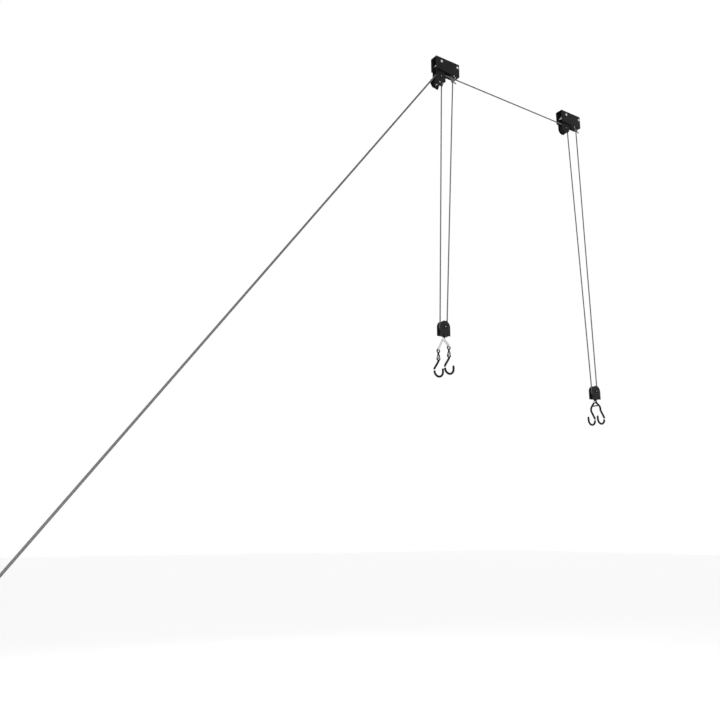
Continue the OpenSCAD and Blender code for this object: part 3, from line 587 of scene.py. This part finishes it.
softEdges = {
    # node: (material, width of the rounded edge, steps, angle from which an edge counts)
    "front_bracket": (powderCoat, 0.0006, 3, 40), "rear_bracket": (powderCoat, 0.0006, 3, 40),
    "front_cheek_near": (powderCoat, 0.0005, 3, 40), "front_cheek_far": (powderCoat, 0.0005, 3, 40),
    "rear_cheek_near": (powderCoat, 0.0005, 3, 40), "rear_cheek_far": (powderCoat, 0.0005, 3, 40),
    "lock_housing": (powderCoat, 0.0005, 3, 40), "lock_cam": (zincPlate, 0.00025, 2, 50),
    "front_block_cheeks": (blockPlastic, 0.0008, 3, 40), "rear_block_cheeks": (blockPlastic, 0.0008, 3, 40),
    "front_sheave_near": (sheaveNylon, 0.0003, 2, 35), "front_sheave_far": (sheaveNylon, 0.0003, 2, 35),
    "rear_sheave": (sheaveNylon, 0.0003, 2, 35), "front_block_sheave": (sheaveNylon, 0.0003, 2, 35),
    "rear_block_sheave": (sheaveNylon, 0.0003, 2, 35),
    "front_hanger": (powderCoat, 0.0007, 3, 40), "rear_hanger": (powderCoat, 0.0007, 3, 40),
    "front_swivel": (powderCoat, 0.0004, 2, 40), "rear_swivel": (powderCoat, 0.0004, 2, 40),
    "front_spreader": (dullZinc, 0.0004, 3, 40), "wall_cleat": (dullZinc, 0.0006, 2, 40),
}


def makeSoftEdged():
    record = frame["record"]
    bodyOf = {name: body for body, names in record["behaviour"]["bodies"].items() for name in names}
    for node, (material, width, steps, angle) in softEdges.items():
        words = node.split("_")
        name = words[0] + "".join(word.capitalize() for word in words[1:]) + "Piece"
        piece = nodes[node].copy()
        piece.data = nodes[node].data.copy()
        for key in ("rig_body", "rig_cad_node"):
            del piece[key]
        piece.parent = None
        piece.name = piece.data.name = name
        bpy.context.scene.collection.objects.link(piece)
        piece.data.materials.clear()
        cleanShell(piece, dissolve=1.0)
        bevelEdges(piece, width, steps, angle)
        smoothByAngle(piece, 34)
        finished(piece, bodyOf[node], node, material)


makeSoftEdged()
print("pressed and moulded pieces made")


# Turned pieces: axles, pins and rivets

def headedEnds(half, form):
    # the profile of an axle with a rounded, dimpled head past half at each end
    out, rim, deep = half + form["headT"], form["rimBreak"], form["dimpleT"]
    headR, dimpleR = form["headR"], form["dimpleR"]
    right = [(half, form["shaftR"]), (half, headR - rim), (half + rim, headR)]
    right += [(out - back, headR - within) for back, within in form["crown"]]
    right += [(out, dimpleR), (out - deep, dimpleR * form["dimpleFloor"]), (out - deep, 0)]
    return [(-along, radius) for along, radius in reversed(right)] + right


def dome(start, height, radius, angles):
    return [(start + height * math.sin(math.radians(a)), radius * math.cos(math.radians(a))) for a in angles]


def domedEnds(low, high, headT, shaftR, headR):
    # the profile of a rivet from low to high, with a domed head past each end
    right = [(high, shaftR), (high, headR)] + dome(high, headT, headR, (18, 36, 54, 72, 90))
    left = [(low + high - along, radius) for along, radius in reversed(right)]
    return left + right


def pinEnds(half, radius, chamfer):
    return [(-half, 0), (-half, radius - chamfer), (-half + chamfer, radius), (half - chamfer, radius),
            (half, radius - chamfer), (half, 0)]


def twoFinishes(piece, metal, isBlack):
    # black finish on the faces whose middle isBlack picks, the metal on the rest
    piece.data.materials.append(metal)
    piece.data.materials.append(powderCoat)
    for face in piece.data.polygons:
        if isBlack(face.center):
            face.material_index = 1


# crown holds how far back from the head's end and within its radius each ring of the rounded rim lies
axleForm = {
    "shaftR": 0.004, "headR": 0.006, "headT": 0.002, "rimBreak": 0.0002,
    "crown": ((0.0008, 0), (0.0003, 0.0003), (0, 0.0011)), "dimpleR": 0.0016, "dimpleT": 0.0006,
    "dimpleFloor": 0.6, "brightR": 0.0029, "bracketHalf": 0.0126, "blockHalf": 0.01045, "slack": 0.0001,
}


def makeAxle(name, half, body, node, place):
    # both heads are black, apart from their bright middle
    def inRim(middle):
        outside = abs(middle.y) > half - axleForm["slack"]
        return outside and math.hypot(middle.x, middle.z) > axleForm["brightR"]

    piece = turned(name, headedEnds(half, axleForm), "Y", (0, 0, 0))
    twoFinishes(piece, springSteel, inRim)
    finished(moved(piece, place), body, node)


def makeAxles():
    for side, shift in brackets:
        place = (shift + hoist["axleX"], 0, hoist["axleZ"])
        makeAxle(side + "AxlePin", axleForm["bracketHalf"], "root", side + "_axle", place)
    for side, shift in brackets:
        makeAxle(side + "BlockAxlePin", axleForm["blockHalf"], side + "_block", side + "_block_axle",
                 hoist[side + "Block"])


rivetForm = {
    "lockAside": 0.046 / 6, "lockZ": -0.0989, "lockFrom": 0.0106, "lockTo": 0.01465,
    "lockR": 0.002, "lockHeadR": 0.0036, "lockHeadT": 0.0012,
    "hangerX": 0.0115, "hangerZ": -0.0295, "hangerHalf": 0.01045, "hangerR": 0.0025,
    "headR": 0.00425, "headT": 0.0016, "tabZ": -0.0435, "tabR": 0.0025,
    "tabs": (("front", "front_spreader_rivet", (-0.0041, 0.0015)),
             ("rear", "rear_hook_rivet", (-0.0046, 0.0046))),
}


def makeRivets():
    f = rivetForm
    profile = [(f["lockFrom"], 0), (f["lockFrom"], f["lockR"]), (f["lockTo"], f["lockR"]),
               (f["lockTo"], f["lockHeadR"])]
    profile += dome(f["lockTo"], f["lockHeadT"], f["lockHeadR"], (20, 40, 60, 78, 90))
    pieces = []
    for aside in (-f["lockAside"], f["lockAside"]):
        for way in (-1, 1):
            place = (hoist["axleX"] + aside, 0, f["lockZ"])
            pieces.append(turned("rivet", [(way * along, r) for along, r in profile], "Y", place, 28))
    finished(joined("lockRivetSet", pieces), "root", "lock_rivets", powderCoat)
    profile = domedEnds(-f["hangerHalf"], f["hangerHalf"], f["headT"], f["hangerR"], f["headR"])
    for side, shift in brackets:
        block = Vector(hoist[side + "Block"])
        pieces = [turned("rivet", profile, "Y", block + Vector((way * f["hangerX"], 0, f["hangerZ"])), 32)
                  for way in (-1, 1)]
        finished(joined(side + "HangerRivetPair", pieces), side + "_block",
                 side + "_hanger_rivets", powderCoat)
    for side, node, (low, high) in f["tabs"]:
        profile = domedEnds(low, high, f["headT"], f["tabR"], f["headR"])
        place = Vector(hoist[side + "Block"]) + Vector((0, 0, f["tabZ"]))
        piece = turned(side + "TabRivet", profile, "X", place, 32)
        finished(piece, side + "_swivel", node, zincPlate)


pinForm = {"guideX": -0.047, "guideZ": -0.034, "guideR": 0.003, "guideHalf": 0.018,
           "camPin": (-0.0418, -0.1114), "camPinR": 0.0025, "stopPin": (-0.0298, -0.1144), "stopPinR": 0.002,
           "lockHalf": 0.01585, "chamfer": 0.0005}


def makePins():
    f = pinForm
    for side, shift in brackets:
        profile = pinEnds(f["guideHalf"], f["guideR"], f["chamfer"])
        piece = turned(side + "GuidePinBar", profile, "Y", (shift + f["guideX"], 0, f["guideZ"]), 36)
        twoFinishes(piece, zincPlate, lambda middle: abs(middle.y) > f["guideHalf"] - f["chamfer"])
        finished(piece, "root", side + "_guide_pin")
    for name, node, place, radius in (("camPinBar", "lock_cam_pin", f["camPin"], f["camPinR"]),
                                      ("stopPinBar", "lock_stop_pin", f["stopPin"], f["stopPinR"])):
        profile = pinEnds(f["lockHalf"], radius, f["chamfer"])
        piece = turned(name, profile, "Y", (place[0], 0, place[1]), 32)
        finished(piece, "root", node, springSteel)


# crest and root say where the thread turns within its pitch, rimShare is the turned-off rim over the flats
boltForm = {
    "x": (-0.035, 0.047), "z": -0.020, "shaftR": 0.003, "half": 0.018, "intoHead": 0.0005, "flats": 0.010,
    "headT": 0.004, "nutT": 0.005, "rimShare": 0.96, "lensShare": 1.02, "edge": 0.00018,
    "threadOut": 0.002, "threadStop": 0.0008, "pitch": 0.001, "threadDepth": 0.0005,
    "crest": 0.2, "root": 0.65, "tip": ((0.0004, 0.0001), (0, 0.0006)),
}


def makeHex(name, height, ends):
    # a hexagon of that height along Y round the origin, its corners turned off at the ends named
    flats, slope = boltForm["flats"], math.radians(30)
    corner = flats / 2 / math.cos(slope)
    bpy.ops.object.select_all(action="DESELECT")
    bpy.ops.mesh.primitive_cylinder_add(vertices=6, radius=corner, depth=height, location=(0, 0, 0))
    piece = bpy.context.object
    upright = Matrix.Rotation(math.radians(90), 4, "X")
    piece.data.transform(upright @ Matrix.Rotation(math.radians(30), 4, "Z"))
    rim, wide = flats / 2 * boltForm["rimShare"], corner * boltForm["lensShare"]
    drop = (wide - rim) * math.tan(slope)
    profile = [(-height / 2, 0)]
    profile += [(-height / 2, rim), (-height / 2 + drop, wide)] if "low" in ends else [(-height / 2, wide)]
    profile += [(height / 2 - drop, wide), (height / 2, rim)] if "high" in ends else [(height / 2, wide)]
    profile += [(height / 2, 0)]
    lens = turned("lens", profile, "Y", (0, 0, 0), 48)
    cut = piece.modifiers.new("corners", "BOOLEAN")
    cut.operation, cut.object, cut.solver = "INTERSECT", lens, "EXACT"
    pick(piece)
    bpy.ops.object.modifier_apply(modifier="corners")
    bpy.data.objects.remove(lens)
    piece.name = name
    bevelEdges(piece, boltForm["edge"], 2, 30)
    smoothByAngle(piece, 30)
    return piece


def shaftProfile():
    # a bolt's shaft from inside its head to its end, threaded from the far wall on
    f = boltForm
    start, end, radius = -f["half"] - f["intoHead"], f["half"] + f["nutT"] + f["threadOut"], f["shaftR"]
    profile = [(start, 0), (start, radius), (f["half"], radius)]
    along = f["half"]
    while along < end - f["threadStop"]:
        profile += [(along + f["pitch"] * f["crest"], radius),
                    (along + f["pitch"] * f["root"], radius - f["threadDepth"])]
        along += f["pitch"]
    return profile + [(end - back, radius - within) for back, within in f["tip"]] + [(end, 0)]


def makeBolts():
    f = boltForm
    for side, shift in brackets:
        bolts, nuts = [], []
        for boltX in f["x"]:
            x, z = shift + boltX, f["z"]
            head = moved(makeHex("boltHead", f["headT"], ("low",)), (x, -f["half"] - f["headT"] / 2, z))
            bolts += [head, turned("shaft", shaftProfile(), "Y", (x, 0, z), 32)]
            nut = makeHex("nut", f["nutT"], ("low", "high"))
            nuts.append(moved(nut, (x, f["half"] + f["nutT"] / 2, z)))
        bolts, nuts = joined(side + "CrossBoltPair", bolts), joined(side + "CrossNutPair", nuts)
        finished(bolts, "root", side + "_cross_bolts", dullZinc)
        finished(nuts, "root", side + "_cross_nuts", zincPlate)


springForm = {"coilR": 0.0032, "wireR": 0.00045, "from": 0.0088, "to": 0.0119, "turns": 3.5, "rings": 72,
              "upLeg": 0.0065, "upLegAside": 0.0001, "lastLeg": 0.8}


def makeSpring():
    f = springForm
    x, z = pinForm["camPin"]
    line = [Vector((x + f["coilR"], f["from"] - f["upLegAside"], z + f["upLeg"]))]
    for k in range(f["rings"] + 1):
        t = k / f["rings"]
        angle = -2 * math.pi * f["turns"] * t
        line.append(Vector((x + f["coilR"] * math.cos(angle), f["from"] + (f["to"] - f["from"]) * t,
                            z + f["coilR"] * math.sin(angle))))
    line.append(line[-1] + Vector((0, 0, f["upLeg"] * f["lastLeg"])))
    finished(tube("camSpring", line, f["wireR"], 10), "root", "lock_spring", springSteel)


makeAxles()
makeRivets()
makePins()
makeBolts()
makeSpring()
print("turned pieces made")


# Links and hooks: bent rod, dipped in black rubber where it isn't left bare

def below(place, depth):
    return place + Vector((0, 0, -depth))


def bentLine(start, moves, step=0.0015):
    # walks a rod: (length, 0, 0) runs straight, (bend radius, angle, direction) bends
    line, frameNow = [start.to_translation()], start.copy()
    for length, angle, direction in moves:
        if not angle:
            count = max(1, round(length / step))
            line += [frameNow @ Vector((0, 0, length * k / count)) for k in range(1, count + 1)]
            frameNow = frameNow @ Matrix.Translation((0, 0, length))
            continue
        side = Matrix.Rotation(math.radians(direction), 4, "Z")
        count = max(2, round(length * math.radians(angle) / step))
        for k in range(1, count + 1):
            t = math.radians(angle) * k / count
            line.append(frameNow @ side @ Vector((length * (1 - math.cos(t)), 0, length * math.sin(t))))
        frameNow = (frameNow @ side @ Matrix.Translation((length, 0, 0))
                    @ Matrix.Rotation(math.radians(angle), 4, "Y") @ Matrix.Translation((-length, 0, 0))
                    @ side.inverted())
    return line


def lengthsOf(line):
    total, out = 0.0, [0.0]
    for a, b in zip(line, line[1:]):
        total += (b - a).length
        out.append(total)
    return out


def atLength(line, lengths, s):
    for i in range(len(line) - 1):
        if s <= lengths[i + 1] or i == len(line) - 2:
            t = (s - lengths[i]) / max(lengths[i + 1] - lengths[i], 1e-9)
            return line[i].lerp(line[i + 1], min(max(t, 0), 1))


# The lip is as long as lip times the coat's thickness. Its rings stand at lipSteps of the lip, those of a
# round end at tipSteps of the radius, and tipLeast keeps its last ring from closing to a point. A ring
# nearer to the last one than apart is left out. The rod shows rubber where the coat has more than thinnest
# of its thickness.
coatForm = {
    "lip": 1.2, "lipSteps": (0.02, 0.15, 0.4, 0.7, 1.0), "tipSteps": (0.9, 0.7, 0.5, 0.32, 0.18, 0.08, 0.02),
    "apart": 2e-5, "tipLeast": 0.0004, "thinnest": 0.05,
}


def ringPlaces(lengths, coatR, lip, coats, roundEnd):
    total = lengths[-1]
    marks = set(lengths)
    for low, high in coats:
        marks.update((low, high))
        for t in coatForm["lipSteps"]:
            marks.update((low + lip * t, high - lip * t))
    if roundEnd:
        marks.update(total - coatR * t for t in coatForm["tipSteps"])
    marks = sorted(s for s in marks if 0 <= s <= total)
    kept = [marks[0]]
    for s in marks[1:]:
        if s - kept[-1] > coatForm["apart"]:
            kept.append(s)
    return kept


def coatedRod(name, line, bareR, coatR, coats, sides, closed=False, roundEnd=False):
    # rubber lies over the rod along each stretch in coats, and ends in a rounded lip
    lengths = lengthsOf(line)
    total, coatT = lengths[-1], coatR - bareR
    lip = coatT * coatForm["lip"]
    kept = ringPlaces(lengths, coatR, lip, coats, roundEnd)
    points, radii = [], []
    for s in kept:
        radius = bareR
        for low, high in coats:
            if low <= s <= high:
                edge = min(s - low, lip if roundEnd and high >= total else high - s)
                share = min(edge / lip, 1)
                radius = bareR + coatT * math.sqrt(max(1 - (1 - share) ** 2, 0))
        if roundEnd and s > total - coatR:
            deep = (s - (total - coatR)) / coatR
            radius = min(radius, coatR * math.sqrt(max(1 - deep * deep, coatForm["tipLeast"])))
        points.append(atLength(line, lengths, s))
        radii.append(radius)
    if closed:
        points, radii = points[:-1], radii[:-1]
    piece = tube(name, points, radii, sides, closed)
    piece.data.materials.append(dippedRubber)
    piece.data.materials.append(zincPlate)
    # the faces come ring by ring, and in an open rod the two end faces last
    rings = len(radii)
    bands = rings if closed else rings - 1
    coated = [r > bareR + coatT * coatForm["thinnest"] or (roundEnd and s > total - coatR)
              for r, s in zip(radii, kept)]
    for i, face in enumerate(piece.data.polygons):
        ring = i // sides if i // sides < bands else (0, rings - 1)[i - bands * sides]
        face.material_index = 0 if coated[ring] or coated[(ring + 1) % rings] else 1
    return piece


# sleeveFrom is where the sleeve starts on a rod with a leg, skin is the thickness of the coat on an eye
hookForm = {
    "eyeR": 0.0062, "eyeBare": 0.17, "skin": 0.0004, "rodR": 0.00275, "coatR": 0.004, "sleeveFrom": 0.0006,
    "bendR": 0.012, "lean": 35, "band": 0.005, "bowlR": 0.020, "tip": 0.008, "flare": 25,
}


def makeEye(middle, plane, start, wireR, bareShare, sides):
    # a closed eye, bare for that share of its length on each side of start
    eyeR = hookForm["eyeR"]
    whole = 2 * math.pi * eyeR
    line = arcLine(middle, eyeR, start, start + 360, 40, plane)
    coats = [(whole * bareShare, whole * (1 - bareShare))]
    return coatedRod("ring", line, wireR - hookForm["skin"], wireR, coats, sides, closed=True)


def hookMoves():
    # out in two bends with a slope between them, past a bare band, round the bowl and up to the flared tip
    f, lean = hookForm, math.radians(hookForm["lean"])
    slope = (f["bowlR"] - 2 * f["bendR"] * (1 - math.cos(lean))) / math.sin(lean)
    return [(f["bendR"], f["lean"], 180), (slope, 0, 0), (f["bendR"], f["lean"], 0), (f["band"], 0, 0),
            (f["bowlR"], 180, 0), (f["tip"], 0, 0), (f["bendR"], f["flare"], 180)]


def makeHookRod(start, leg):
    # the rod from start down, after a leg if there is one: a sleeve, a bare band, and the bowl's sleeve
    f, moves = hookForm, hookMoves()
    line = bentLine(start, moves)
    lead = 0
    if leg:
        line, lead = leg + line[1:], lengthsOf(leg)[-1]
    upper = lead + 2 * (f["bendR"] * math.radians(f["lean"])) + moves[1][0]
    coats = [(min(lead, f["sleeveFrom"]), upper), (upper + f["band"], lengthsOf(line)[-1])]
    return coatedRod("rod", line, f["rodR"], f["coatR"], coats, 22, roundEnd=True)


# armX, spread, tipZ and hookTopZ are measured from the middle of the front block's axle
linkForm = {
    "wireR": 0.00225, "upperBare": 0.10, "sleeveR": 0.00375, "shank": 0.010,
    "armX": -0.0028, "spread": 0.030, "tipZ": -0.0775, "hookTopZ": -0.1071,
}


def makeFrontHooks():
    f, eyeR, wireR, bare = linkForm, hookForm["eyeR"], linkForm["wireR"], hookForm["eyeBare"]
    block = Vector(hoist["frontBlock"])
    for side, way in (("Far", 1), ("Near", -1)):
        # the link: an eye through the spreader, a sleeve, and an eye that holds the hook
        tip = block + Vector((f["armX"], way * f["spread"], f["tipZ"]))
        ringUpper = makeEye(below(tip, eyeR), "XZ", 90, wireR, f["upperBare"], 14)
        ringLower = makeEye(below(tip, 3 * eyeR + f["shank"]), "YZ", -90, wireR, bare, 14)
        top, low = below(tip, 2 * eyeR - wireR), below(tip, 2 * eyeR + f["shank"] + wireR)
        shank = [top.lerp(low, k / 14) for k in range(15)]
        sleeve = coatedRod("sleeve", shank, wireR, f["sleeveR"], [(0, (low - top).length)], 24)
        link = joined("frontLink" + side + "Rod", [sleeve, ringUpper, ringLower])
        finished(link, "front_link_" + side.lower(), "front_link_" + side.lower())
        # the hook below it
        hookTop = block + Vector((f["armX"], way * f["spread"], f["hookTopZ"]))
        ring = makeEye(below(hookTop, eyeR), "XZ", 90, hookForm["rodR"], bare, 16)
        start = Matrix.Translation(below(hookTop, 2 * eyeR)) @ Matrix.Rotation(math.pi, 4, "X")
        hook = joined("frontHook" + side + "Rod", [makeHookRod(start, []), ring])
        finished(hook, "front_hook_" + side.lower(), "front_hook_" + side.lower())


# A leg starts on its flat eye, runs out at its lean, turns down softly and goes straight on. A bar holds the
# two legs apart, barAt along them.
rearForm = {
    "eyeX": 0.00305, "tabZ": -0.0435, "discR": 0.0065, "discT": 0.003, "discEdge": 0.0006, "boreR": 0.00255,
    "lean": 42, "from": 0.0056, "leg": 0.032, "soft": 0.008, "straight": 0.010,
    "barAt": 0.024, "barR": 0.0025, "barNeck": 0.999, "barEnd": 0.0012, "barGap": 0.0002,
}


def makeFlatEye(pivot):
    f = rearForm
    half, disc, bore, edge = f["discT"] / 2, f["discR"], f["boreR"], f["discEdge"]
    profile = [(-half, bore), (-half, disc - edge), (-half + edge, disc), (half - edge, disc),
               (half, disc - edge), (half, bore), (-half, bore)]
    eye = turned("eye", profile, "X", pivot, 36)
    eye.data.materials.append(powderCoat)
    return eye


def makeBar(block):
    f, lean = rearForm, math.radians(rearForm["lean"])
    reach, low = f["barAt"] * math.sin(lean), f["barAt"] * math.cos(lean)
    x = f["eyeX"] - hookForm["coatR"] - f["barR"] - f["barGap"]
    profile = domedEnds(-reach, reach, f["barEnd"], f["barR"] * f["barNeck"], f["barR"])
    bar = turned("bar", profile, "Y", block + Vector((x, 0, f["tabZ"] - low)), 24)
    bar.data.materials.append(dippedRubber)
    return bar


def makeRearHooks():
    f, lean = rearForm, math.radians(rearForm["lean"])
    block = Vector(hoist["rearBlock"])
    for side, way in (("Far", 1), ("Near", -1)):
        pivot = block + Vector((-way * f["eyeX"], 0, f["tabZ"]))
        outward = Vector((0, way * math.sin(lean), -math.cos(lean)))
        elbow, slant = pivot + outward * f["leg"], f["leg"] - f["soft"] - f["from"]
        leg = [pivot + outward * (f["from"] + slant * k / 12) for k in range(13)]
        a, b = elbow - outward * f["soft"], below(elbow, f["soft"])
        leg += [a.lerp(elbow, k / 8).lerp(elbow.lerp(b, k / 8), k / 8) for k in range(1, 9)]
        leg.append(below(elbow, f["straight"]))
        down = Matrix.Rotation(math.pi, 4, "Z") @ Matrix.Rotation(math.pi, 4, "X")
        start = Matrix.Translation(elbow) @ down @ Matrix.Translation((0, 0, f["straight"]))
        pieces = [makeHookRod(start, leg), makeFlatEye(pivot)]
        if side == "Far":
            pieces.append(makeBar(block))
        hook = joined("rearHook" + side + "Rod", pieces)
        finished(hook, "rear_hooks", "rear_hook_" + side.lower())


makeFrontHooks()
makeRearHooks()
print("hooks made")


# CAD pieces that stay as they are get their own finish

for node in ("front_spacers", "rear_spacers", "rear_axle_spacer",
             "front_block_washers", "rear_block_washers"):
    nodes[node].data.materials.clear()
    nodes[node].data.materials.append(zincPlate)


# Floor, light and air. Each lamp has its place, its width and its power, and all point at aim.

studio = {
    "floorZ": -2.75, "floorSize": 60, "mottle": (3, 3), "floorRough": 0.7, "floorGlow": 0.5,
    "floorShades": [(0.0, (0.84, 0.84, 0.84)), (1.0, (0.88, 0.88, 0.88))], "skyLight": 0.42, "skySeen": 1.0,
    "aim": (0.1, 0, -0.8),
    "lamps": [((-2.9, -2.0, -1.7), 2.2, 110), ((2.6, -3.4, -0.8), 2.4, 35), ((0.6, 3.4, 0.6), 2.6, 40)],
}


def makeFloor():
    bpy.ops.object.select_all(action="DESELECT")
    bpy.ops.mesh.primitive_plane_add(size=studio["floorSize"], location=(0, 0, studio["floorZ"]))
    floor = bpy.context.object
    floor.name = "floor"
    look = Look("paleFloor")
    shade = look.colours(look.noise(*studio["mottle"]), studio["floorShades"])
    look.give(colour=shade, rough=studio["floorRough"])
    path = look.tree.nodes.new("ShaderNodeLightPath")
    glow = look.tree.nodes.new("ShaderNodeEmission")
    seen = look.sum("MAXIMUM", path.outputs["Is Camera Ray"], path.outputs["Is Glossy Ray"])
    both = look.tree.nodes.new("ShaderNodeAddShader")
    look.link(look.sum("MULTIPLY", seen, studio["floorGlow"]), glow.inputs["Strength"])
    look.link(look.shader.outputs["BSDF"], both.inputs[0])
    look.link(glow.outputs["Emission"], both.inputs[1])
    look.link(both.outputs["Shader"], look.tree.nodes["Material Output"].inputs["Surface"])
    floor.data.materials.append(look.material)


def makeAir():
    # white where it is seen, also in a gloss, and dimmer as a light on the object
    world = bpy.data.worlds.new("studioAir")
    bpy.context.scene.world = world
    world.use_nodes = True
    tree = world.node_tree

    def larger(a, b):
        node = tree.nodes.new("ShaderNodeMath")
        node.operation = "MAXIMUM"
        tree.links.new(a, node.inputs[0])
        tree.links.new(b, node.inputs[1])
        return node.outputs["Value"]

    ray = tree.nodes.new("ShaderNodeLightPath").outputs
    seen = larger(larger(ray["Is Camera Ray"], ray["Is Transmission Ray"]), ray["Is Glossy Ray"])
    level = tree.nodes.new("ShaderNodeMapRange")
    level.inputs["To Min"].default_value = studio["skyLight"]
    level.inputs["To Max"].default_value = studio["skySeen"]
    tree.links.new(seen, level.inputs["Value"])
    air = tree.nodes["Background"]
    tree.links.new(level.outputs["Result"], air.inputs["Strength"])
    air.inputs["Color"].default_value = (1, 1, 1, 1)


def makeLamps():
    for place, size, power in studio["lamps"]:
        bpy.ops.object.light_add(type="AREA", location=place)
        lamp = bpy.context.object
        lamp.data.shape, lamp.data.size, lamp.data.energy = "SQUARE", size, power
        lamp.rotation_euler = (Vector(studio["aim"]) - Vector(place)).to_track_quat("-Z", "Y").to_euler()


makeFloor()
makeAir()
makeLamps()
print("studio set")
